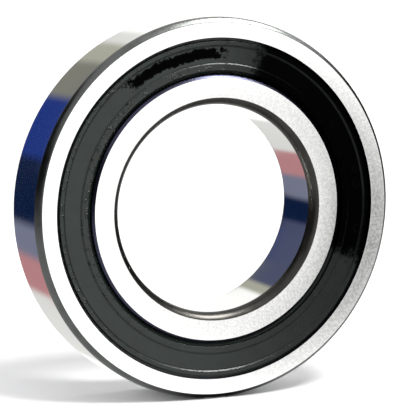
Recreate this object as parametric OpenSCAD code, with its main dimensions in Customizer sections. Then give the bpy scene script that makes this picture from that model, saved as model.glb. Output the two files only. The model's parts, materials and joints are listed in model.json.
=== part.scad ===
// Single-row deep-groove ball bearing with a rubber contact seal on each side.
// The axis runs along Y, the origin is the centre of the bearing, +Z is up and the front face is at -Y.

/* [Boundary dimensions] */
// Bore diameter
bore_d = 60; // [59:0.5:61]
// Outside diameter
outer_d = 110; // [109:0.5:112]
// Width of both rings
ring_w = 22; // [22:0.5:24]
// Radial leg of the rounded corner on the outside diameter
outer_corner = 1.5; // [1:0.1:2]
// Radius of that corner's arc
outer_corner_r = 3.2; // [2.5:0.1:4]
// Radial leg of the rounded corner at the bore
bore_corner = 2.1; // [1:0.1:2.5]
// Radius of that corner's arc
bore_corner_r = 3.8; // [3:0.1:5]

/* [Balls and raceways] */
// Ball diameter
ball_d = 15.875; // [15:0.125:16]
// Number of balls, each with a node of its own
ball_count = 10; // [7:1:10]
// Gap between a ball and each raceway
ball_gap = 0.05; // [0.02:0.01:0.1]
// Groove radius of the inner raceway over the ball diameter
inner_osculation = 0.515; // [0.51:0.005:0.53]
// Groove radius of the outer raceway over the ball diameter
outer_osculation = 0.53; // [0.52:0.005:0.54]

/* [Ring shoulders] */
// Diameter of the inner ring's shoulders
inner_shoulder_d = 77.2; // [76.8:0.1:77.4]
// Diameter where the inner ring's side face meets its outer chamfer
inner_face_d = 75.7; // [74.5:0.1:76]
// Diameter of the outer ring's shoulders
outer_shoulder_d = 95.2; // [94.5:0.1:95.4]
// Diameter where the outer ring's side face meets the seal recess
outer_face_d = 98.3; // [98.2:0.1:98.5]

/* [Cage] */
// Sheet thickness of each cage half
cage_t = 0.9; // [0.8:0.05:1]
// Inside diameter of the cage ribbon
cage_inner_d = 78.4; // [78.2:0.1:80]
// Outside diameter of the cage ribbon
cage_outer_d = 91.8; // [90:0.1:92.5]
// Gap between a ball and its pocket
pocket_gap = 0.1; // [0.05:0.01:0.15]
// Diameter of a rivet's shank
rivet_d = 2.6; // [2:0.1:3]
// Diameter of a rivet's head
rivet_head_d = 4.6; // [4:0.1:5]
// Height of a rivet's head above the sheet
rivet_head_h = 1; // [0.6:0.1:1.2]

/* [Seals] */
// How far the seal's beads lie below the ring faces
bead_recess = 0.25; // [0.1:0.05:0.3]
// How far the flat band lies below the ring faces at its outer edge
band_recess = 0.65; // [0.5:0.05:0.7]
// How much nearer to the ring faces the band lies at its inner edge
band_dish = 0.15; // [0:0.05:0.2]
// Thickness of rubber over the stiffener
rubber_t = 0.45; // [0.4:0.05:0.5]
// Sheet thickness of the stiffener
stiffener_t = 0.45; // [0.4:0.05:0.5]
// Gap between the seal's lip and the inner ring's shoulder
lip_gap = 0.05; // [0.03:0.01:0.1]
// Gap between the seal's rim and the groove that holds it
rim_gap = 0.02; // [0.01:0.01:0.04]

/* [Hidden] */

fine = 180;              // facets of anything that turns about the bearing's axis
small = 72;              // facets of balls, pockets and rivets
past = 1;                // how far a cutting shape runs past what it cuts
corner_start = 6;        // angle at which a corner's arc leaves the seat

half_w = ring_w / 2;
bore_r = bore_d / 2;
outer_r = outer_d / 2;
pitch_r = (bore_d + outer_d) / 4;
ball_r = ball_d / 2;
step_angle = 360 / ball_count;

inner_groove_r = inner_osculation * ball_d;
outer_groove_r = outer_osculation * ball_d;
inner_groove_x = pitch_r - ball_r - ball_gap + inner_groove_r;
outer_groove_x = pitch_r + ball_r + ball_gap - outer_groove_r;

inner_shoulder_r = inner_shoulder_d / 2;
inner_face_r = inner_face_d / 2;
outer_shoulder_r = outer_shoulder_d / 2;
outer_face_r = outer_face_d / 2;
inner_chamfer = inner_shoulder_r - inner_face_r;

pocket_r = ball_r + pocket_gap;
cage_inner_r = cage_inner_d / 2;
cage_outer_r = cage_outer_d / 2;

// Axial levels of the seal, counted from the middle plane
bead_y = half_w - bead_recess;
band_y = half_w - band_recess;
sheet_y = band_y - rubber_t;
back_y = sheet_y - stiffener_t;
rim_r = 0.6;
rim_y = back_y - 0.55;
seat_y = rim_y - rim_r - rim_gap;
rim_x = outer_face_r + 0.15;

// Radii of the seal's features, from the rim inwards
bead_wall = 0.95;        // from the outer ring's face edge to the outer bead
outer_bead_w = 1.1;      // width of the outer bead over its rounded shoulders
inner_bead_w = 1.75;     // width of the inner bead over its rounded shoulders
bead_step = 0.2;         // slope from a bead down to the flat band
bead_round = 0.15;       // rounded shoulder of a bead
outer_bead_x = outer_face_r - bead_wall;
outer_bead_end = outer_bead_x - outer_bead_w;
inner_bead_end = inner_shoulder_r + 1.2;
inner_bead_x = inner_bead_end + inner_bead_w;
lip_x = inner_shoulder_r + lip_gap;
sheet_outer_r = outer_bead_x - 0.6;
sheet_inner_r = inner_bead_end + 0.6;
flange_t = 0.45;

function numbered(stem, i) = str(stem, i < 10 ? "0" : "", i);

// Turns a half-section, radius along X and axial position along Y, about the bearing's axis
module turned(facets = fine) {
    rotate([-90, 0, 0])
        rotate_extrude($fn = facets)
            children();
}

// Rectangle between two radii and two axial positions
module block(x_low, x_high, y_low, y_high) {
    translate([x_low, y_low])
        square([x_high - x_low, y_high - y_low]);
}

// Both sides of a feature that is drawn for the rear side
module both_sides() {
    children();
    mirror([0, 1])
        children();
}

// What a rounded corner removes, drawn with the sharp corner at the origin and the ring below and left.
// The arc leaves the seat almost smoothly and meets the side face at an edge.
module corner_relief(leg, arc_r) {
    corner_end = acos(cos(corner_start) - leg / arc_r);
    depth = arc_r * (sin(corner_end) - sin(corner_start));
    difference() {
        translate([-leg, -depth])
            square([leg + past, depth + past]);
        translate([-arc_r * cos(corner_start), -depth - arc_r * sin(corner_start)])
            circle(r = arc_r, $fn = fine);
    }
}

// Places its children at position i of the pitch circle, the first at the top, clockwise from the front
module on_pitch(i, offset = 0) {
    angle = 90 - (i - 1 + offset) * step_angle;
    translate([pitch_r * cos(angle), 0, pitch_r * sin(angle)])
        children();
}

module outer_ring() {
    color([0.86, 0.86, 0.84])
        turned()
            difference() {
                block(outer_shoulder_r, outer_r, -half_w, half_w);
                translate([outer_groove_x, 0])
                    circle(r = outer_groove_r, $fn = fine);
                both_sides() {
                    block(outer_shoulder_r - past, outer_face_r, seat_y, half_w + past);
                    translate([rim_x, rim_y])
                        circle(r = rim_r + rim_gap, $fn = small);
                    translate([outer_r, half_w])
                        corner_relief(outer_corner, outer_corner_r);
                }
            }
}

module inner_ring() {
    color([0.88, 0.88, 0.86])
        turned()
            difference() {
                polygon([
                    [bore_r, -half_w],
                    [inner_face_r, -half_w],
                    [inner_shoulder_r, inner_chamfer - half_w],
                    [inner_shoulder_r, half_w - inner_chamfer],
                    [inner_face_r, half_w],
                    [bore_r, half_w]
                ]);
                translate([inner_groove_x, 0])
                    circle(r = inner_groove_r, $fn = fine);
                both_sides()
                    translate([bore_r, half_w])
                        mirror([1, 0])
                            corner_relief(bore_corner, bore_corner_r);
            }
}

module ball(i) {
    color([0.9, 0.9, 0.92])
        on_pitch(i)
            rotate([-90, 0, 0])
                sphere(r = ball_r, $fn = small);
}

// One pressed half: flats between the pockets on the middle plane, and a hollow cup over each ball
module cage_half() {
    color([0.72, 0.7, 0.64])
        intersection() {
            difference() {
                union() {
                    turned()
                        block(cage_inner_r - past, cage_outer_r + past, 0, cage_t);
                    for (i = [1:ball_count])
                        on_pitch(i)
                            rotate([-90, 0, 0])
                                sphere(r = pocket_r + cage_t, $fn = small);
                }
                for (i = [1:ball_count]) {
                    on_pitch(i)
                        rotate([-90, 0, 0])
                            sphere(r = pocket_r, $fn = small);
                    on_pitch(i, 0.5)
                        rotate([-90, 0, 0])
                            cylinder(d = rivet_d, h = half_w, center = true, $fn = small);
                }
            }
            turned()
                block(cage_inner_r, cage_outer_r, 0, half_w);
        }
}

module cage_front() {
    mirror([0, 1, 0])
        cage_half();
}

module cage_rear() {
    cage_half();
}

// A shank through both sheets with a domed head at each end
module cage_rivet(i) {
    head_r = rivet_head_d / 2;
    dome_r = (head_r * head_r + rivet_head_h * rivet_head_h) / (2 * rivet_head_h);
    color([0.78, 0.78, 0.76])
        on_pitch(i, 0.5)
            turned(small) {
                block(0, rivet_d / 2, -cage_t, cage_t);
                both_sides()
                    intersection() {
                        translate([0, cage_t + rivet_head_h - dome_r])
                            circle(r = dome_r, $fn = fine);
                        block(0, head_r, cage_t, cage_t + rivet_head_h + past);
                    }
            }
}

// Half-section of the moulded rubber: rim in the outer ring's groove, outer bead, flat band, inner bead, lip
module rubber_section() {
    translate([rim_x, rim_y])
        circle(r = rim_r, $fn = small);
    polygon([
        [rim_x, rim_y + rim_r],
        [outer_bead_x + bead_round, rim_y + rim_r],
        [outer_bead_x, bead_y - bead_round],
        [outer_bead_x - bead_round, bead_y],
        [outer_bead_end + bead_round, bead_y],
        [outer_bead_end, bead_y - bead_round],
        [outer_bead_end - bead_step, band_y],
        [inner_bead_x + bead_step, band_y + band_dish],
        [inner_bead_x, bead_y - bead_round],
        [inner_bead_x - bead_round, bead_y],
        [inner_bead_end + bead_round, bead_y],
        [inner_bead_end, bead_y - bead_round],
        [inner_bead_end - bead_round, sheet_y],
        [lip_x + 0.1, back_y - 0.1],
        [lip_x, back_y - 0.35],
        [lip_x + 0.2, back_y - 0.5],
        [inner_bead_end, back_y],
        [sheet_inner_r, back_y],
        [sheet_inner_r, sheet_y],
        [sheet_outer_r, sheet_y],
        [sheet_outer_r, rim_y - rim_r],
        [rim_x, rim_y - rim_r]
    ]);
}

// Half-section of the pressed washer: a flat sheet with its outer edge bent towards the balls
module stiffener_section() {
    block(sheet_inner_r, sheet_outer_r, back_y, sheet_y);
    block(sheet_outer_r - flange_t, sheet_outer_r, rim_y - rim_r / 2, sheet_y);
}

module front_seal() {
    color([0.12, 0.13, 0.12])
        turned()
            mirror([0, 1])
                rubber_section();
}

module rear_seal() {
    color([0.12, 0.13, 0.12])
        turned()
            rubber_section();
}

module front_stiffener() {
    color([0.6, 0.6, 0.62])
        turned()
            mirror([0, 1])
                stiffener_section();
}

module rear_stiffener() {
    color([0.6, 0.6, 0.62])
        turned()
            stiffener_section();
}

outer_ring();
inner_ring();
cage_front();
cage_rear();
for (i = [1:ball_count])
    ball(i);
for (i = [1:ball_count])
    cage_rivet(i);
front_seal();
front_stiffener();
rear_seal();
rear_stiffener();
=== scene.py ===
"""Looks of a sealed deep-groove ball bearing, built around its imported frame.

Every length is in metres, in the frame of the part: the bearing turns about Y, its front face
looks towards -Y and +Z is up.
"""

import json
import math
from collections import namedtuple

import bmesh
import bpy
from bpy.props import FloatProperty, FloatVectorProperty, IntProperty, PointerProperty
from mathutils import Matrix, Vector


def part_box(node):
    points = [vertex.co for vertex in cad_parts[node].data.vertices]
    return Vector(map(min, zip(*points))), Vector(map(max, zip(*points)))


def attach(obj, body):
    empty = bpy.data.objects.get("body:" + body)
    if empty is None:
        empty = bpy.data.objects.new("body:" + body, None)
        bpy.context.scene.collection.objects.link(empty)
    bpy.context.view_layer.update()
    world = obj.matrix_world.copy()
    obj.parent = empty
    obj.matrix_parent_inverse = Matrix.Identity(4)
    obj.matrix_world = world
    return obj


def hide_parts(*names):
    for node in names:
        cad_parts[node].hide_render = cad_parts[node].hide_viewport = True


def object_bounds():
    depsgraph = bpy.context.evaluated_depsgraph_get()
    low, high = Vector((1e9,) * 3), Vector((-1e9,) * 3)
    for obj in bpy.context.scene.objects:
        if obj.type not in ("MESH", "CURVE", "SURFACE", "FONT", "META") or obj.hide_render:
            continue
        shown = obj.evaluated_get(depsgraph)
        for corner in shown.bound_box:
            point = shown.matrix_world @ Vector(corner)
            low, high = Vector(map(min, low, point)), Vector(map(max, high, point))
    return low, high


bl_info = {
    "name": "Sealed Ball Bearing",
    "version": (1, 0, 0),
    "blender": (4, 5, 0),
    "location": "View3D > Sidebar > Bearing",
    "description": "Builds the rings, seals, cage, rivets and balls of a deep-groove ball bearing",
    "category": "Object",
}

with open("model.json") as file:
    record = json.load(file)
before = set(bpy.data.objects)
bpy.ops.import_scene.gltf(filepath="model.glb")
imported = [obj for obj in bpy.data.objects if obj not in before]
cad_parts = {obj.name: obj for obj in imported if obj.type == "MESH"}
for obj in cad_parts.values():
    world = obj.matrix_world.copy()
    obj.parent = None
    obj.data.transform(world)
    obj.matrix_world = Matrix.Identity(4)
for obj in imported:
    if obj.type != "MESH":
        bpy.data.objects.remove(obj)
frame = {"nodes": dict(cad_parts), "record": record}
CAD_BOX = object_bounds()

MM = 0.001
TOUCH = 0.01 * MM
BALLS = [name for name in frame["nodes"] if name.startswith("ball_")]
RIVETS = [name for name in frame["nodes"] if name.startswith("cage_rivet_")]
CAGE_HALVES = ["cage_front", "cage_rear"]
SIDES = {"front": -1, "rear": 1}
# A rounded corner leaves its seat at this angle, which keeps a faint edge there
CORNER_START = math.radians(6.0)
MOUNT_RADIUS = {
    mount["name"]: mount["dims"].get("r_mm", 0) * MM for mount in frame["record"]["mounts"]
}

# What the frame fixes: the part's own radii and axial levels
OUTER_R = MOUNT_RADIUS["outer_seat"]
BORE_R = MOUNT_RADIUS["bore"]
HALF_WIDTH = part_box("outer_ring")[1].y
SHOULDER_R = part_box("inner_ring")[1].x
BEAD_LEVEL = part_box("rear_seal")[1].y
SHEET_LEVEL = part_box("rear_stiffener")[1].y
SHEET_EDGE_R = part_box("rear_stiffener")[1].x
BALL_R = (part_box("ball_01")[1].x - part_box("ball_01")[0].x) / 2
PITCH_R = (BORE_R + OUTER_R) / 2


def length(name, description, default_mm, low_mm=0.0, high_mm=50.0):
    """A length that a user may change, given in millimetres"""
    return FloatProperty(
        name=name, description=description, default=default_mm * MM,
        min=low_mm * MM, max=high_mm * MM, precision=5, unit="LENGTH",
    )


def share(name, description, default, high=1.0):
    """A plain factor that a user may change"""
    return FloatProperty(name=name, description=description, default=default, min=0.0, max=high)


def colour(name, description, default):
    """A colour that a user may change"""
    return FloatVectorProperty(
        name=name, description=description, default=default, subtype="COLOR", min=0.0, max=1.0
    )


class RingSizes(bpy.types.PropertyGroup):
    """Sizes of the two steel rings"""

    outer_corner: length("Outer corner", "What the outer corner takes off the side face", 1.5)
    bore_corner: length("Bore corner", "What the bore's corner takes off the side face", 2.1)
    outer_corner_r: length("Outer corner radius", "Radius of the outer rounded corner", 3.2)
    bore_corner_r: length("Bore corner radius", "Radius of the bore's rounded corner", 3.8)
    edge_break: length("Edge break", "Rounding of every machined edge", 0.08)
    outer_shoulder_r: length("Outer shoulder", "Radius of the outer ring's shoulders", 47.6, 40, 60)
    outer_face_r: length("Outer face edge", "Radius where the outer side face ends", 49.15, 40, 60)
    inner_face_r: length("Inner face edge", "Radius where the inner side face ends", 37.85, 30, 60)
    seal_seat: length("Seal seat", "Axial level of the step that the seal rests on", 8.28)
    rim_groove_r: length("Rim groove", "Radius of the groove that holds the seal's rim", 0.62)
    rim_level: length("Rim level", "Axial level of the seal's rim", 8.9)
    rim_offset: length("Rim offset", "How far the rim lies outside the face edge", 0.15)
    ball_gap: length("Ball gap", "Gap between a ball and each raceway", 0.05)
    inner_osculation: share("Inner groove", "Inner groove radius over ball diameter", 0.515)
    outer_osculation: share("Outer groove", "Outer groove radius over ball diameter", 0.53)
    steps: IntProperty(
        name="Steps", description="Facets around each turned piece", default=288, min=64, max=360
    )


class SealSizes(bpy.types.PropertyGroup):
    """Sizes of the moulded rubber seals"""

    bead_wall: length("Bead wall", "From the outer ring's face edge to the outer bead", 0.95)
    outer_bead: length("Outer bead", "Width of the outer bead", 1.1)
    inner_bead: length("Inner bead", "Width of the inner bead", 1.75)
    inner_bead_start: length("Inner bead start", "From the shoulder to the inner bead", 1.2)
    bead_slope: length("Bead slope", "Width of the slope from a bead to the band", 0.42)
    crease: length("Crease", "Depth of the crease between a bead and the band", 0.12)
    bead_round: length("Bead rounding", "Rounded shoulder of a bead", 0.15)
    band_depth: length("Band depth", "How far the flat band lies below the ring faces", 0.65)
    band_dish: length("Band dish", "How far the flat band rises towards the inner bead", 0.15)
    rubber: length("Rubber", "Thickness of rubber over the stiffener", 0.45)
    sheet: length("Sheet", "Thickness of the stiffener", 0.45)
    rim_r: length("Rim", "Radius of the seal's round rim", 0.6)
    lip_gap: length("Lip gap", "Gap between the lip and the inner ring's shoulder", 0.05)


class Finishes(bpy.types.PropertyGroup):
    """Colours of the steels and the rubber"""

    ground_steel: colour("Ground steel", "Side faces of both rings", (0.80, 0.80, 0.785))
    honed_steel: colour("Honed steel", "Outside diameter, bore and raceways", (0.74, 0.74, 0.735))
    ball_steel: colour("Ball steel", "Lapped balls", (0.82, 0.82, 0.83))
    cage_steel: colour("Cage steel", "Pressed cage sheet", (0.50, 0.48, 0.43))
    rivet_steel: colour("Rivet steel", "Headed rivets", (0.60, 0.60, 0.58))
    stiffener_steel: colour("Stiffener steel", "Cold-rolled washer", (0.42, 0.42, 0.43))
    # Dark film on unground steel; its navy tint is a painted reflection
    turned: colour("Turned steel", "Chamfers, shoulders and recesses", (0.06, 0.062, 0.10))
    outer_film: colour("Outer film", "Outer corners, under a dark film", (0.125, 0.13, 0.125))
    inner_film: colour("Inner film", "Bore corners, under a dark film", (0.055, 0.053, 0.048))
    rubber: colour("Rubber", "Dry moulded rubber", (0.010, 0.016, 0.013))
    # Also the colour of the painted shade on the seal's right and lower right
    wet_rubber: colour("Wet rubber", "Rubber under a film of oil", (0.001, 0.001, 0.001))


class StageLook(bpy.types.PropertyGroup):
    """Camera, floor and lights"""

    heading: FloatProperty(
        name="Heading", description="Camera's turn to the left of the bearing's axis",
        default=math.radians(23.6), subtype="ANGLE",
    )
    lift: FloatProperty(
        name="Lift", description="Camera's height angle", default=math.radians(6.97), subtype="ANGLE"
    )
    distance: length("Distance", "From the camera to the bearing", 697, 100, 2000)
    lens: FloatProperty(
        name="Lens", description="Focal length in millimetres", default=210.55, min=20, max=500
    )
    aim: FloatVectorProperty(
        name="Aim", description="Point that the camera looks at", default=(-0.001, 0.0, 0.0),
        subtype="TRANSLATION", precision=5,
    )
    floor: colour("Floor", "Colour of the floor", (0.95, 0.95, 0.95))
    background: colour("Background", "Colour around the stage", (0.88, 0.88, 0.89))
    shade: colour("Shade", "Light that reaches the shadows", (0.70, 0.70, 0.71))


# Curved upright cards around the bearing, which only reflections see. Angles on the stage are in
# degrees, with azimuth 0 towards +Y and heights above the level of the bearing's axis
Card = namedtuple("Card", "name azimuth low high span distance")
FAR = 1.2
BACKDROP = Card("coloured_backdrop", -2.0, -40.0, 40.0, 66.0, FAR)
BACKDROP_STRENGTH = 1.35
FRONT_CARD = Card("front_card", 165.0, -25.0, 14.0, 70.0, 1.1 * FAR)
FRONT_STRENGTH = 1.7
# Dark flags, each with its colour, and the height over which their edges fade out
FLAGS = (
    (Card("left_flag", -60.0, -12.0, 50.0, 64.0, 0.95 * FAR), (0.006, 0.006, 0.005)),
    (Card("left_rear_flag", -109.0, -12.0, 32.0, 34.0, FAR), (0.012, 0.014, 0.030)),
    (Card("right_flag", 80.0, -12.0, 32.0, 60.0, FAR), (0.012, 0.012, 0.010)),
)
FADE = 0.1 * FAR
CARD_STEPS = 24
# Dark spot on the front card: how far it lies to the right of -Y and below the axis, and its radius
SPOT_ASIDE, SPOT_BELOW, SPOT_RADIUS = math.radians(30.6), math.radians(8.2), math.radians(10.0)
# The lamp that lights the edges: azimuth, height, width, depth and strength
LAMP_AZIMUTH, LAMP_HEIGHT = 95.0, 62.0
LAMP_WIDTH, LAMP_DEPTH, LAMP_STRENGTH = 0.8, 0.5, 34.0
# Suns: (name, strength, azimuth, height, spread)
SUNS = (("key", 2.3, 167.0, 56.0, 16.0), ("fill", 0.4, -160.0, 50.0, 25.0))
# Colours of the sheets that the mirror-bright seat and bore look at
SHEETS = {
    "white": (0.95, 0.95, 0.92),
    "pale": (0.64, 0.64, 0.62),
    "olive": (0.36, 0.36, 0.30),
    "moss": (0.19, 0.19, 0.16),
    "slate": (0.06, 0.07, 0.13),
    "blue": (0.01, 0.03, 0.19),
    "night": (0.003, 0.01, 0.04),
    "lavender": (0.16, 0.17, 0.24),
    "rose": (0.42, 0.20, 0.21),
}
# Where each sheet starts, in degrees from +X and turning towards +Z, and how soft its edge is
SEAT_SHEETS = (
    (0, "white"), (55, "pale"), (70, "olive"), (90, "moss"), (120, "blue"), (160, "night"),
    (200, "lavender"), (220, "rose"), (245, "pale"), (300, "white"),
)
BORE_SHEETS = (
    (0, "white"), (75, "olive"), (90, "slate"), (170, "night"), (195, "lavender"),
    (220, "rose"), (250, "pale"), (300, "white"),
)
SHEET_EDGE = 6
SHEET_GREY = (0.64, 0.64, 0.64)
# Angles away from +Y where the inner sheets begin, give way to the outer ones, and end
SHEETS_START, SHEETS_SPLIT, SHEETS_END = (20.0, 18.0), (24.2, 24.6), (28.0, 31.0)


def direction(azimuth, height):
    """Unit vector towards an azimuth from +Y and a height above the floor, both in degrees"""
    return Matrix.Rotation(math.radians(-azimuth), 3, "Z") @ Vector((
        0.0, math.cos(math.radians(height)), math.sin(math.radians(height))
    ))


class Link:
    """A shader socket that takes part in Python arithmetic, each step adding its own Math node"""

    def __init__(self, surface, socket):
        self.surface = surface
        self.socket = socket

    def _math(self, operation, *values):
        return self.surface.add("ShaderNodeMath", {"operation": operation}, *values)

    def __add__(self, other):
        return self._math("ADD", self, other)

    __radd__ = __add__

    def __sub__(self, other):
        return self._math("SUBTRACT", self, other)

    def __rsub__(self, other):
        return self._math("SUBTRACT", other, self)

    def __mul__(self, other):
        return self._math("MULTIPLY", self, other)

    __rmul__ = __mul__

    def __truediv__(self, other):
        return self._math("DIVIDE", self, other)

    def __rtruediv__(self, other):
        return self._math("DIVIDE", other, self)

    def __pow__(self, other):
        return self._math("POWER", self, other)

    def __abs__(self):
        return self._math("ABSOLUTE", self)

    def most(self, other):
        """The larger of two values"""
        return self._math("MAXIMUM", self, other)

    def least(self, other):
        """The smaller of two values"""
        return self._math("MINIMUM", self, other)

    def ramp(self, low, high, start=0.0, end=1.0):
        """Goes smoothly from start to end as the value goes from low to high"""
        settings = {"interpolation_type": "SMOOTHSTEP"}
        return self.surface.add("ShaderNodeMapRange", settings, self, low, high, start, end)


class Surface:
    """A procedural finish with one shader, built node by node"""

    def __init__(self, name):
        self.material = bpy.data.materials.new(name)
        self.material.use_nodes = True
        self.tree = self.material.node_tree
        self.tree.nodes.clear()
        self.output = self.tree.nodes.new("ShaderNodeOutputMaterial")

    def add(self, kind, settings=None, *values, out=0, **named):
        """Adds a node: first its settings, then its sockets' values or links, by order or by name"""
        node = self.tree.nodes.new(kind)
        for key, value in (settings or {}).items():
            if key == "stops":
                self._set_stops(node.color_ramp, value)
            else:
                setattr(node, key, value)
        for key, value in [*enumerate(values), *named.items()]:
            socket = node.inputs[key if isinstance(key, int) else key.replace("_", " ")]
            if isinstance(value, Link):
                self.tree.links.new(value.socket, socket)
            elif value is not None:
                socket.default_value = value
        return Link(self, node.outputs[out])

    @staticmethod
    def _set_stops(ramp, stops):
        while len(ramp.elements) < len(stops):
            ramp.elements.new(1.0)
        for element, (position, shade) in zip(ramp.elements, stops):
            element.position = position
            element.color = (*shade, 1.0)

    def place(self, move=(0, 0, 0), turn=(0, 0, 0), scale=(1, 1, 1)):
        """Object coordinates, moved, turned and scaled"""
        here = self.add("ShaderNodeTexCoord", out=3)
        return self.add("ShaderNodeMapping", {}, here, move, turn, scale)

    def parts(self, vector):
        """The three components of a vector"""
        first = self.add("ShaderNodeSeparateXYZ", {}, vector)
        node = first.socket.node
        return [Link(self, node.outputs[i]) for i in range(3)]

    def far(self, vector):
        """Length of a vector"""
        return self.add("ShaderNodeVectorMath", {"operation": "LENGTH"}, vector, out=1)

    def noise(self, vector, scale, detail=2.0, rough=0.5):
        """Soft noise from 0 to 1 around one half"""
        return self.add(
            "ShaderNodeTexNoise", {}, vector, Scale=scale, Detail=detail, Roughness=rough
        )

    def lines(self, value, scale, detail=3.0, rough=0.7):
        """Streaks that vary with one value only"""
        settings = {"noise_dimensions": "1D"}
        return self.add(
            "ShaderNodeTexNoise", settings, W=value, Scale=scale, Detail=detail, Roughness=rough
        )

    def blend(self, factor, first, second):
        """First colour where the factor is 0, second colour where it is 1"""
        pair = [shade if isinstance(shade, Link) else (*shade, 1.0) for shade in (first, second)]
        return self.add("ShaderNodeMix", {"data_type": "RGBA"}, factor, *[None] * 5, *pair, out=2)

    def dents(self, vector, scale, rarity):
        """Small round spots, in as few cells as the rarity leaves"""
        cells = self.add("ShaderNodeTexVoronoi", {}, vector, Scale=scale)
        chance = self.parts(Link(self, cells.socket.node.outputs["Color"]))[0]
        return cells.ramp(0.24, 0.10) * chance.ramp(rarity, rarity + 0.01)

    def angle(self, rise, run):
        """Angle whose tangent is rise over run"""
        return self.add("ShaderNodeMath", {"operation": "ARCTAN2"}, rise, run)

    def bump(self, height, depth):
        """Normal of a surface whose height varies from 0 to depth metres"""
        return self.add("ShaderNodeBump", {}, Strength=1.0, Distance=depth, Height=height)

    def end(self, shader):
        """Ends the finish in a shader"""
        self.tree.links.new(shader.socket, self.output.inputs["Surface"])
        return self.material

    def finish(self, **sockets):
        """Ends the finish in one glossy shader"""
        return self.end(self.add("ShaderNodeBsdfPrincipled", {}, **sockets))

    def veil(self, shade, cover):
        """Ends the finish in plain light that covers what is behind it by a share"""
        clear = self.add("ShaderNodeBsdfTransparent")
        light = self.add("ShaderNodeEmission", {}, (*shade, 1.0), 1.0)
        return self.end(self.add("ShaderNodeMixShader", {}, cover, clear, light))

    def glow(self, shade, strength=1.0):
        """Ends the finish in plain light"""
        shade = shade if isinstance(shade, Link) else (*shade, 1.0)
        return self.end(self.add("ShaderNodeEmission", {}, shade, strength))


def plain(shade):
    """A colour property as a plain triple"""
    return tuple(shade)


def ground_face(ring, shade):
    """Side face ground between wheels, which leaves two crossing families of shallow arcs"""
    s = Surface(ring + "_ground_face")
    here = s.place()
    patches = s.noise(here, 90.0, 3.0)
    first = s.lines(s.far(s.place(move=(0.085, 0.0, 0.045))), 2600.0)
    second = s.lines(s.far(s.place(move=(-0.03, 0.0, -0.095))), 2200.0)
    arcs = first * 0.5 + second * 0.5
    grain = s.noise(here, 1300.0, 3.0, 0.6)
    dull = (arcs * 0.35 + grain * 0.65).ramp(0.3, 0.7)
    shade_link = s.blend(dull, [c * 0.88 for c in shade], [min(1.0, c * 1.08) for c in shade])
    rough = 0.125 + dull * 0.04 + (patches - 0.5) * 0.06
    return s.finish(
        Base_Color=shade_link, Metallic=1.0, Roughness=rough,
        Normal=s.bump(arcs * 0.2 + grain * 0.8, 10.0e-6),
    )


def honed_seat(ring, shade):
    """Outside diameter and bore, honed almost to a mirror, with hairlines around them"""
    s = Surface(ring + "_honed_seat")
    here = s.place()
    along = s.parts(here)[1]
    hoops = s.lines(along, 2600.0, 4.0)
    clouds = s.noise(here, 40.0, 2.0)
    wear = hoops * 0.7 + clouds * 0.3
    shade_link = s.blend(wear.ramp(0.25, 0.75), [c * 0.96 for c in shade], [c * 1.03 for c in shade])
    rough = 0.045 + wear * 0.05
    return s.finish(
        Base_Color=shade_link, Metallic=1.0, Roughness=rough, Normal=s.bump(hoops, 0.12e-6)
    )


def hardened_corner(ring, shade):
    """Rounded corner that no grinding wheel touches, with a dark film on it"""
    s = Surface(ring + "_hardened_corner")
    here = s.place()
    along = s.parts(here)[1]
    radius = s.far(s.place(scale=(1.0, 0.0, 1.0)))
    cuts = s.lines(radius - abs(along), 2400.0, 3.0)
    scale = s.noise(here, 160.0, 4.0, 0.6)
    tone = (cuts * 0.4 + scale * 0.6).ramp(0.3, 0.7)
    return s.finish(
        Base_Color=s.blend(tone, [c * 0.72 for c in shade], [c * 1.2 for c in shade]), Metallic=1.0,
        Roughness=0.26 + tone * 0.1, Normal=s.bump(cuts * 0.5 + scale * 0.5, 3.0e-6),
    )


def turned_steel(ring, shade):
    """Chamfers, shoulders and seal recesses as the lathe left them, under a dark film whose navy
    tint is a painted reflection
    """
    s = Surface(ring + "_turned_steel")
    here = s.place()
    along = s.parts(here)[1]
    radius = s.far(s.place(scale=(1.0, 0.0, 1.0)))
    cuts = s.lines(radius + along * 1.3, 4200.0, 3.0)
    stains = s.noise(here, 130.0, 3.0)
    dark = cuts * 0.5 + stains * 0.5
    shade_link = s.blend(dark.ramp(0.3, 0.75), [c * 0.82 for c in shade], shade)
    rough = 0.20 + cuts * 0.14
    return s.finish(
        Base_Color=shade_link, Metallic=1.0, Roughness=rough, Normal=s.bump(cuts, 1.4e-6)
    )


def raceway_steel(ring, shade):
    """Superfinished ball groove"""
    s = Surface(ring + "_raceway")
    hoops = s.lines(s.parts(s.place())[1], 6500.0, 2.0)
    return s.finish(
        Base_Color=s.blend(hoops, [c * 0.96 for c in shade], shade), Metallic=1.0,
        Roughness=0.05 + hoops * 0.03, Normal=s.bump(hoops, 0.15e-6),
    )


def lapped_ball(shade):
    """Mirror-lapped ball with a few hairline marks"""
    s = Surface("lapped_ball")
    here = s.place()
    haze = s.noise(here, 180.0, 3.0)
    hair = s.add(
        "ShaderNodeTexNoise", {"noise_type": "RIDGED_MULTIFRACTAL"}, here, Scale=260.0, Detail=3.0
    )
    marks = hair.ramp(1.35, 1.7)
    return s.finish(
        Base_Color=s.blend(haze, [c * 0.95 for c in shade], shade), Metallic=1.0,
        Roughness=0.035 + haze * 0.02 + marks * 0.08,
    )


def pressed_sheet(name, shade, dull):
    """Sheet steel marked by rolling and pressing"""
    s = Surface(name)
    here = s.place()
    rolled = s.noise(s.place(turn=(0, 0.4, 0), scale=(60.0, 60.0, 900.0)), 1.0, 3.0)
    scuffs = s.noise(here, 420.0, 4.0, 0.65)
    tone = (rolled * 0.5 + scuffs * 0.5).ramp(0.3, 0.7)
    return s.finish(
        Base_Color=s.blend(tone, [c * 0.78 for c in shade], shade), Metallic=1.0,
        Roughness=dull + tone * 0.14, Normal=s.bump(scuffs * 0.6 + rolled * 0.4, 5.0e-6),
    )


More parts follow.
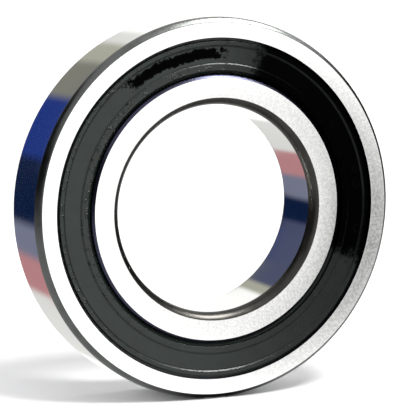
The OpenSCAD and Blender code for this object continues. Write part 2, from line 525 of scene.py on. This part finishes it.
def headed_rivet(shade):
    """Rivet formed cold, satin with small tool marks"""
    s = Surface("headed_rivet")
    here = s.place()
    marks = s.noise(here, 900.0, 3.0, 0.6)
    return s.finish(
        Base_Color=s.blend(marks, [c * 0.8 for c in shade], shade), Metallic=1.0,
        Roughness=0.24 + marks * 0.16, Normal=s.bump(marks, 4.0e-6),
    )


def moulded_rubber(dry, wet_and_shaded, band_inner, band_outer, slope):
    """Black rubber, satin from its mould, with a film of oil lying on it in ragged patches, and
    painted shade in the same wet finish over its right and lower right
    """
    s = Surface("moulded_rubber")
    here = s.place()
    x, y, z = s.parts(here)
    radius = s.far(s.place(scale=(1.0, 0.0, 1.0)))
    grain = s.noise(here, 2200.0, 3.0, 0.6)
    mottle = s.noise(here, 260.0, 4.0, 0.6)
    ragged = (s.noise(here, 620.0, 7.0, 0.75) - 0.5) * 3.0
    # How far towards each side of the seal a point lies
    right = (x * 0.9 + z * 0.45) / radius
    lower_right = (x * 0.95 - z * 0.3) / radius
    over = (x * -0.29 + z * 0.957) / radius
    left = ((z * 0.4 - x * 0.9) / radius).ramp(0.1, 0.8)
    # Painted shade turns the right side near-black and fades out over the right and lower right, in
    # the glossy wet finish; oil lies in a torn streak over the top
    right_side_shade = (right + ragged * 0.07).ramp(0.60, 0.72)
    # film is painted shade: the fade of the wet finish over the right and lower right
    film = (lower_right.ramp(0.0, 1.1) * 0.5).most(right.ramp(0.3, 0.75) * 0.45)
    streak_r = (band_inner + band_outer) / 2 + 0.4 * MM
    streak_half = (band_outer - band_inner) / 2 - 0.9 * MM
    inside = 1.0 - abs(radius - streak_r) / streak_half
    streak = inside.least((over - 0.925) * 12.0) + ragged * 0.75
    streak = streak.ramp(0.1, 0.3) * over.ramp(0.9, 0.93)
    # All of it is thinned to six tenths on the outer bead's slope
    slope_thinning = radius.ramp(band_outer - 0.7 * MM, band_outer - 0.4 * MM)
    slope_thinning = slope_thinning * radius.ramp(band_outer + 0.1 * MM, band_outer - 0.2 * MM)
    # oil holds both the oil streak and the painted shade: it sets the wet colour, the metal share
    # and the gloss
    oil = right_side_shade.most(streak).most(film) * (1.0 - slope_thinning * 0.4)
    band = radius.ramp(band_inner, band_inner + slope) * radius.ramp(band_outer, band_outer - slope)
    drops = s.noise(here, 560.0, 3.0, 0.6).ramp(0.55, 0.63) * (1.0 - band) * (left * 0.8 + 0.2)
    dents = s.dents(here, 150.0, 0.5)
    height = grain * 0.5 + mottle * 0.4 + drops * 22.0 - dents * 10.0
    dry_link = s.blend(mottle.ramp(0.3, 0.7), [c * 0.7 for c in dry], dry)
    return s.finish(
        Base_Color=s.blend(oil, dry_link, wet_and_shaded), Metallic=oil, Specular_IOR_Level=0.36,
        Roughness=0.28 + grain * 0.12 - oil.most(drops) * 0.16, Normal=s.bump(height, 12.0e-6),
    )


class Section:
    """Half-section of a turned piece, drawn in the plane of its radius (X) and its axis (Y)"""

    def __init__(self):
        self.mesh = bmesh.new()
        self.first = None
        self.last = None
        self.roundings = {}

    def to(self, radius, along, rounding=0.0):
        """Straight line to a corner, which is rounded off afterwards"""
        vert = self.mesh.verts.new((radius, along, 0.0))
        if self.last:
            self.mesh.edges.new((self.last, vert))
        self.first = self.first or vert
        self.last = vert
        self.round(rounding)

    def arc(self, centre, degrees, steps, rounding=0.0):
        """Arc from the last corner, turning about a centre"""
        turned = bmesh.ops.spin(
            self.mesh, geom=[self.last], cent=(*centre, 0.0), axis=(0.0, 0.0, 1.0),
            angle=math.radians(degrees), steps=steps, dvec=(0.0, 0.0, 0.0), use_duplicate=False,
        )
        self.last = next(e for e in turned["geom_last"] if isinstance(e, bmesh.types.BMVert))
        self.round(rounding)

    def round(self, rounding):
        """Marks the last corner for rounding off"""
        if rounding:
            self.roundings.setdefault(rounding, []).append(self.last)

    def soften(self):
        """Rounds off the marked corners"""
        for rounding, verts in self.roundings.items():
            bmesh.ops.bevel(
                self.mesh, geom=verts, offset=rounding, offset_type="OFFSET", segments=3,
                profile=0.5, affect="VERTICES", material=-1,
            )

    def close(self, side=1):
        """Joins the last corner to the first, and flips the drawing to the side asked for"""
        self.mesh.edges.new((self.last, self.first))
        self.soften()
        bmesh.ops.scale(self.mesh, vec=(1.0, side, 1.0), verts=self.mesh.verts)

    def mirror(self):
        """Adds the front half of a drawing whose rear half starts and ends on the middle plane"""
        self.soften()
        bmesh.ops.mirror(
            self.mesh, geom=[*self.mesh.verts, *self.mesh.edges], matrix=Matrix.Identity(4),
            merge_dist=1.0e-7, axis="Y",
        )

    def turn(self, name, steps, finishes, finish_of):
        """Spins the section about the bearing's axis into a closed piece"""
        mesh = self.mesh
        bmesh.ops.spin(
            mesh, geom=[*mesh.verts, *mesh.edges], cent=(0.0, 0.0, 0.0), axis=(0.0, 1.0, 0.0),
            angle=math.tau, steps=steps, dvec=(0.0, 0.0, 0.0), use_merge=True, use_duplicate=False,
        )
        bmesh.ops.remove_doubles(mesh, verts=mesh.verts, dist=1.0e-7)
        bmesh.ops.recalc_face_normals(mesh, faces=mesh.faces)
        for face in mesh.faces:
            face.smooth = True
            face.material_index = finish_of(face)
        for edge in mesh.edges:
            edge.smooth = edge.calc_face_angle(0.0) < math.radians(35)
        data = bpy.data.meshes.new(name)
        mesh.to_mesh(data)
        mesh.free()
        for finish in finishes:
            data.materials.append(finish)
        piece = bpy.data.objects.new(name, data)
        bpy.context.scene.collection.objects.link(piece)
        weighted = piece.modifiers.new("even_shading", "WEIGHTED_NORMAL")
        weighted.keep_sharp = True
        return piece


def rounded_corner(leg, radius):
    """How deep a corner's arc reaches along the axis, its centre's inset from the seat and from
    the side face, and the angle that it covers"""
    end = math.acos(math.cos(CORNER_START) - leg / radius)
    depth = radius * (math.sin(end) - math.sin(CORNER_START))
    inset = radius * math.cos(CORNER_START)
    drop = depth + radius * math.sin(CORNER_START)
    return depth, inset, drop, math.degrees(end - CORNER_START)


def where(face):
    """Radius and axial position of a face's centre"""
    middle = face.calc_center_median()
    return math.hypot(middle.x, middle.z), middle.y


def repaint(node, finish):
    """Gives a CAD node one finish in every slot"""
    data = frame["nodes"][node].data
    if not data.materials:
        data.materials.append(finish)
    for index in range(len(data.materials)):
        data.materials[index] = finish


class BEARING_OT_stage(bpy.types.Operator):
    """Set up the floor, the lights, the cards that the steel reflects, and the camera"""

    bl_idname = "bearing.stage"
    bl_label = "Stage"

    def execute(self, context):
        look = context.scene.bearing_stage
        context.scene.view_settings.view_transform = "Standard"
        self.surroundings(context, plain(look.background), plain(look.shade))
        self.floor(context, plain(look.floor))
        self.lights(context)
        self.cards(context)
        self.camera(context, look)
        return {"FINISHED"}

    def surroundings(self, context, background, shade):
        """A soft world for the light, and a pale dome for the camera and the reflections"""
        world = bpy.data.worlds.new("studio")
        world.use_nodes = True
        world.node_tree.nodes["Background"].inputs["Color"].default_value = (*shade, 1.0)
        context.scene.world = world
        mesh = bmesh.new()
        bmesh.ops.create_uvsphere(mesh, u_segments=48, v_segments=24, radius=14.0)
        dome = self.put(context, "dome", mesh, Surface("dome").glow(background))
        self.only_reflected(dome)
        dome.visible_camera = True

    def put(self, context, name, mesh, material):
        """Adds a finished mesh to the stage"""
        data = bpy.data.meshes.new(name)
        mesh.to_mesh(data)
        mesh.free()
        data.materials.append(material)
        thing = bpy.data.objects.new(name, data)
        context.scene.collection.objects.link(thing)
        return thing

    def grid(self, context, name, width, height, material, matrix):
        """A flat card of one size, moved into place"""
        mesh = bmesh.new()
        bmesh.ops.create_grid(mesh, x_segments=1, y_segments=1, size=0.5)
        bmesh.ops.scale(mesh, vec=(width, height, 1.0), verts=mesh.verts)
        bmesh.ops.transform(mesh, matrix=matrix, verts=mesh.verts)
        return self.put(context, name, mesh, material)

    def floor(self, context, shade):
        s = Surface("floor")
        tone = s.noise(s.place(), 3.0, 1.0)
        material = s.finish(
            Base_Color=s.blend(tone, [c * 0.99 for c in shade], shade), Roughness=0.9
        )
        level = CAD_BOX[0][2]
        floor = self.grid(
            context, "floor", 30.0, 30.0, material, Matrix.Translation((0.0, 0.0, level))
        )
        floor.visible_glossy = False
        # The seat mirrors the shade under itself, where it almost touches the floor
        s = Surface("foot_shade")
        x, y, z = s.parts(s.place())
        near = abs(x).ramp(30 * MM, 4 * MM) * abs(y).ramp(HALF_WIDTH + 2 * MM, HALF_WIDTH)
        dark = s.veil((0.03, 0.03, 0.03), near)
        lift = Matrix.Translation((0.0, 0.0, level + 0.1 * MM))
        self.only_reflected(self.grid(context, "foot_shade", 70 * MM, 30 * MM, dark, lift))

    def lights(self, context):
        for name, strength, azimuth, height, spread in SUNS:
            data = bpy.data.lights.new(name, "SUN")
            data.energy = strength
            data.angle = math.radians(spread)
            light = bpy.data.objects.new(name, data)
            light.rotation_euler = direction(azimuth, height).to_track_quat("Z", "Y").to_euler()
            light.visible_glossy = False
            context.scene.collection.objects.link(light)

    def card(self, context, card, material):
        """A curved upright card around the bearing, seen only in its reflections"""
        mesh = bmesh.new()
        start = math.radians(card.azimuth - card.span / 2)
        side = Vector((math.sin(start), math.cos(start))) * card.distance
        bottom, top = (mesh.verts.new((*side, height)) for height in self.edges(card))
        edge = mesh.edges.new((bottom, top))
        bmesh.ops.spin(
            mesh, geom=[bottom, top, edge], cent=(0.0, 0.0, 0.0), axis=(0.0, 0.0, -1.0),
            angle=math.radians(card.span), steps=CARD_STEPS, dvec=(0.0, 0.0, 0.0),
            use_duplicate=False,
        )
        self.only_reflected(self.put(context, card.name, mesh, material))

    def edges(self, card):
        """Heights of a card's lower and upper edge"""
        return [card.distance * math.tan(math.radians(angle)) for angle in (card.low, card.high)]

    def only_reflected(self, thing):
        """Hides something from everything but reflections"""
        for ray in ("camera", "diffuse", "shadow", "transmission", "volume_scatter"):
            setattr(thing, "visible_" + ray, False)

    def cards(self, context):
        self.card(context, BACKDROP, self.backdrop())
        for card, shade in FLAGS:
            self.card(context, card, self.flag(card, shade))
        self.card(context, FRONT_CARD, self.front_light())
        lamp = Surface("lamp").glow((1.0, 1.0, 1.0), LAMP_STRENGTH)
        aim = direction(LAMP_AZIMUTH, LAMP_HEIGHT)
        turn = aim.to_track_quat("Z", "Y").to_matrix().to_4x4()
        matrix = Matrix.Translation(aim * FAR) @ turn
        self.only_reflected(self.grid(context, "lamp", LAMP_WIDTH, LAMP_DEPTH, lamp, matrix))

    def flag(self, card, shade):
        """Dark cloth whose upper and lower edges fade out"""
        s = Surface(card.name)
        level = s.parts(s.place())[2]
        bottom, top = self.edges(card)
        return s.veil(shade, level.ramp(bottom, bottom + FADE) * level.ramp(top, top - FADE))

    def front_light(self):
        """Broad white card before the faces, with a soft dark spot where a lens looks through"""
        s = Surface("front_card")
        x, y, z = s.parts(s.place())
        across = s.angle(x, 0.0 - y) - SPOT_ASIDE
        up = s.angle(z, FRONT_CARD.distance) + SPOT_BELOW
        away = (across * across + up * up) ** 0.5
        lit = (away / SPOT_RADIUS).least(1.0)
        return s.glow(s.blend(lit, (0.02, 0.02, 0.02), (1.0, 1.0, 1.0)), FRONT_STRENGTH)

    def backdrop(self):
        """Coloured sheets around the far side, where the mirror-bright seat and bore look"""
        s = Surface("coloured_backdrop")
        x, y, z = s.parts(s.place())
        across = s.angle(x, y)
        up = s.angle(z, FAR)
        spread = (across * across + up * up) ** 0.5
        clock = s.angle(up, across)
        clock = (clock + (clock * -1000.0).ramp(0.0, 1.0) * math.tau) / math.tau
        begins, gives_way, ends = (
            spread.ramp(*map(math.radians, edge))
            for edge in (SHEETS_START, SHEETS_SPLIT, SHEETS_END)
        )
        inner, outer = (self.sheets(s, clock, sheets) for sheets in (SEAT_SHEETS, BORE_SHEETS))
        tint = s.blend(gives_way, inner, outer)
        return s.glow(s.blend(begins.most(ends), tint, SHEET_GREY), BACKDROP_STRENGTH)

    def sheets(self, surface, clock, sheets):
        """Colours of the sheets around the clock, each running on to the start of the next"""
        stops = []
        for (first, shade), (last, _) in zip(sheets, (*sheets[1:], (360, ""))):
            stops.append(((first + SHEET_EDGE) / 360.0, SHEETS[shade]))
            stops.append((last / 360.0, SHEETS[shade]))
        return surface.add("ShaderNodeValToRGB", {"stops": stops}, clock)

    def camera(self, context, look):
        data = bpy.data.cameras.new("camera")
        data.lens = look.lens
        data.sensor_width = 36.0
        data.clip_start = 0.01
        camera = bpy.data.objects.new("camera", data)
        aim = Vector(look.aim)
        away = Vector((
            -math.sin(look.heading) * math.cos(look.lift),
            -math.cos(look.heading) * math.cos(look.lift),
            math.sin(look.lift),
        ))
        camera.location = aim + away * look.distance
        camera.rotation_euler = (-away).to_track_quat("-Z", "Y").to_euler()
        context.scene.collection.objects.link(camera)
        context.scene.camera = camera


def ring_finish(seat_r, corner_depth, groove_x, groove_r):
    """Sorts a ring's faces: 0 side face, 1 seat, 2 raceway, 3 what the lathe left, 4 corner"""

    def finish_of(face):
        radius, along = where(face)
        if abs(along) > HALF_WIDTH - TOUCH:
            return 0
        if abs(radius - seat_r) < TOUCH:
            return 1
        if abs(math.hypot(radius - groove_x, along) - groove_r) < TOUCH:
            return 2
        deep = abs(along) > HALF_WIDTH - corner_depth
        if deep and abs(radius - seat_r) < corner_depth:
            return 4
        return 3

    return finish_of


def ring_finishes(name, tint):
    """The five finishes of a ring, in the order that its faces are sorted"""
    honed = plain(tint.honed_steel)
    return [
        ground_face(name, plain(tint.ground_steel)), honed_seat(name, honed),
        raceway_steel(name, honed), turned_steel(name, plain(tint.turned)),
        hardened_corner(name, plain(getattr(tint, name + "_film"))),
    ]


class BEARING_OT_outer_ring(bpy.types.Operator):
    """Turn the outer ring, with its ball groove, seal recesses and rounded corners"""

    bl_idname = "bearing.outer_ring"
    bl_label = "Outer Ring"

    def execute(self, context):
        size = context.scene.bearing_rings
        fine = size.edge_break
        groove_r = size.outer_osculation * 2 * BALL_R
        groove_x = PITCH_R + BALL_R + size.ball_gap - groove_r
        reach = math.degrees(math.acos((size.outer_shoulder_r - groove_x) / groove_r))
        rim_x = size.outer_face_r + size.rim_offset
        mouth = math.degrees(math.asin(size.rim_offset / size.rim_groove_r))
        depth, inset, drop, sweep = rounded_corner(size.outer_corner, size.outer_corner_r)
        ring = Section()
        ring.to(groove_x + groove_r, 0.0)
        ring.arc((groove_x, 0.0), reach, 24, fine)
        ring.to(size.outer_shoulder_r, size.seal_seat, fine)
        ring.to(rim_x, size.rim_level - size.rim_groove_r)
        ring.arc((rim_x, size.rim_level), 180 + mouth, 14)
        ring.to(size.outer_face_r, HALF_WIDTH, fine)
        ring.to(OUTER_R - size.outer_corner, HALF_WIDTH)
        ring.arc((OUTER_R - inset, HALF_WIDTH - drop), -sweep, 14)
        ring.to(OUTER_R, 0.0)
        ring.mirror()
        piece = ring.turn(
            "outer_ring_steel", size.steps, ring_finishes("outer", context.scene.bearing_finishes),
            ring_finish(OUTER_R, depth, groove_x, groove_r),
        )
        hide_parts("outer_ring")
        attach(piece, "outer_ring")
        return {"FINISHED"}


class BEARING_OT_inner_ring(bpy.types.Operator):
    """Turn the inner ring, with its ball groove, chamfers and rounded bore corners"""

    bl_idname = "bearing.inner_ring"
    bl_label = "Inner Ring"

    def execute(self, context):
        size = context.scene.bearing_rings
        fine = size.edge_break
        groove_r = size.inner_osculation * 2 * BALL_R
        groove_x = PITCH_R - BALL_R - size.ball_gap + groove_r
        reach = math.degrees(math.acos((groove_x - SHOULDER_R) / groove_r))
        depth, inset, drop, sweep = rounded_corner(size.bore_corner, size.bore_corner_r)
        ring = Section()
        ring.to(groove_x - groove_r, 0.0)
        ring.arc((groove_x, 0.0), -reach, 24, fine)
        ring.to(SHOULDER_R, HALF_WIDTH - (SHOULDER_R - size.inner_face_r), fine)
        ring.to(size.inner_face_r, HALF_WIDTH, fine)
        ring.to(BORE_R + size.bore_corner, HALF_WIDTH)
        ring.arc((BORE_R + inset, HALF_WIDTH - drop), sweep, 14)
        ring.to(BORE_R, 0.0)
        ring.mirror()
        piece = ring.turn(
            "inner_ring_steel", size.steps, ring_finishes("inner", context.scene.bearing_finishes),
            ring_finish(BORE_R, depth, groove_x, groove_r),
        )
        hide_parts("inner_ring")
        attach(piece, "inner_ring")
        return {"FINISHED"}


class BEARING_OT_seals(bpy.types.Operator):
    """Mould the front and rear seals: round rim, outer bead, flat band, inner bead and lip"""

    bl_idname = "bearing.seals"
    bl_label = "Seals"

    def execute(self, context):
        tint = context.scene.bearing_finishes
        ring, size = context.scene.bearing_rings, context.scene.bearing_seals
        rubber = moulded_rubber(
            plain(tint.rubber), plain(tint.wet_rubber), *self.band(ring, size), size.bead_slope
        )
        for name, side in SIDES.items():
            section = self.section(ring, size)
            section.close(side)
            piece = section.turn(name + "_seal_rubber", ring.steps, [rubber], lambda face: 0)
            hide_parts(name + "_seal")
            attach(piece, "outer_ring")
        return {"FINISHED"}

    def band(self, ring, size):
        """Radii of the two beads' edges, between which the band and its slopes lie"""
        inner = SHOULDER_R + size.inner_bead_start + size.inner_bead
        return inner, ring.outer_face_r - size.bead_wall - size.outer_bead

    def section(self, ring, size):
        """Half-section of the rubber on the rear side"""
        inner_x, outer_end = self.band(ring, size)
        rim_x = ring.outer_face_r + ring.rim_offset
        outer_x = ring.outer_face_r - size.bead_wall
        inner_end = SHOULDER_R + size.inner_bead_start
        band = HALF_WIDTH - size.band_depth
        back = SHEET_LEVEL - size.sheet
        hole_r = inner_end + size.rim_r
        lip = SHOULDER_R + size.lip_gap
        soft = size.bead_round
        rubber = Section()
        rubber.to(rim_x, ring.rim_level - size.rim_r)
        rubber.arc((rim_x, ring.rim_level), 180.0, 14)
        rubber.to(outer_x + soft, ring.rim_level + size.rim_r, soft / 2)
        rubber.to(outer_x, BEAD_LEVEL, soft)
        rubber.to(outer_end, BEAD_LEVEL, soft)
        rubber.to(outer_end - size.bead_slope, band - size.crease, soft / 2)
        rubber.to(outer_end - size.bead_slope - soft, band, soft / 2)
        rubber.to(inner_x + size.bead_slope + soft, band + size.band_dish, soft / 2)
        rubber.to(inner_x + size.bead_slope, band + size.band_dish - size.crease, soft / 2)
        rubber.to(inner_x, BEAD_LEVEL, soft)
        rubber.to(inner_end, BEAD_LEVEL, soft)
        rubber.to(inner_end - soft, SHEET_LEVEL, soft / 2)
        rubber.to(lip + 0.1 * MM, back - 0.1 * MM, 0.04 * MM)
        rubber.to(lip, back - 0.35 * MM, 0.04 * MM)
        rubber.to(lip + 0.2 * MM, back - 0.5 * MM, 0.04 * MM)
        rubber.to(inner_end, back, soft / 2)
        rubber.to(hole_r, back)
        rubber.to(hole_r, SHEET_LEVEL)
        rubber.to(SHEET_EDGE_R, SHEET_LEVEL)
        rubber.to(SHEET_EDGE_R, ring.rim_level - size.rim_r)
        return rubber


class BEARING_OT_stiffeners(bpy.types.Operator):
    """Finish the pressed washers behind the seals"""

    bl_idname = "bearing.stiffeners"
    bl_label = "Stiffeners"

    def execute(self, context):
        shade = plain(context.scene.bearing_finishes.stiffener_steel)
        steel = pressed_sheet("stiffener_sheet", shade, 0.28)
        for name in SIDES:
            repaint(name + "_stiffener", steel)
        return {"FINISHED"}


class BEARING_OT_balls(bpy.types.Operator):
    """Finish the lapped balls"""

    bl_idname = "bearing.balls"
    bl_label = "Balls"

    def execute(self, context):
        steel = lapped_ball(plain(context.scene.bearing_finishes.ball_steel))
        for name in BALLS:
            repaint(name, steel)
        return {"FINISHED"}


class BEARING_OT_cage(bpy.types.Operator):
    """Finish the two pressed halves of the cage"""

    bl_idname = "bearing.cage"
    bl_label = "Cage"

    def execute(self, context):
        shade = plain(context.scene.bearing_finishes.cage_steel)
        steel = pressed_sheet("cage_sheet", shade, 0.3)
        for name in CAGE_HALVES:
            repaint(name, steel)
        return {"FINISHED"}


class BEARING_OT_rivets(bpy.types.Operator):
    """Finish the rivets that hold the cage together"""

    bl_idname = "bearing.rivets"
    bl_label = "Rivets"

    def execute(self, context):
        steel = headed_rivet(plain(context.scene.bearing_finishes.rivet_steel))
        for name in RIVETS:
            repaint(name, steel)
        return {"FINISHED"}


class BEARING_PT_panel(bpy.types.Panel):
    """Lists the pieces of the bearing and their sizes"""

    bl_idname = "BEARING_PT_panel"
    bl_label = "Ball Bearing"
    bl_space_type = "VIEW_3D"
    bl_region_type = "UI"
    bl_category = "Bearing"

    def draw(self, context):
        for group in PROPERTIES:
            settings = getattr(context.scene, group)
            box = self.layout.box()
            for name in settings.__annotations__:
                box.prop(settings, name)
        for operator in OPERATORS:
            self.layout.operator(operator.bl_idname)


PROPERTIES = {
    "bearing_rings": RingSizes,
    "bearing_seals": SealSizes,
    "bearing_finishes": Finishes,
    "bearing_stage": StageLook,
}
OPERATORS = (
    BEARING_OT_outer_ring,
    BEARING_OT_inner_ring,
    BEARING_OT_seals,
    BEARING_OT_stiffeners,
    BEARING_OT_balls,
    BEARING_OT_cage,
    BEARING_OT_rivets,
    BEARING_OT_stage,
)
CLASSES = (*PROPERTIES.values(), *OPERATORS, BEARING_PT_panel)


def register():
    for cls in CLASSES:
        bpy.utils.register_class(cls)
    for name, group in PROPERTIES.items():
        setattr(bpy.types.Scene, name, PointerProperty(type=group))


def unregister():
    for name in PROPERTIES:
        delattr(bpy.types.Scene, name)
    for cls in reversed(CLASSES):
        bpy.utils.unregister_class(cls)


def main():
    """Builds every piece and the stage"""
    register()
    for operator in OPERATORS:
        namespace, name = operator.bl_idname.split(".")
        getattr(getattr(bpy.ops, namespace), name)()


if __name__ == "__main__":
    main()
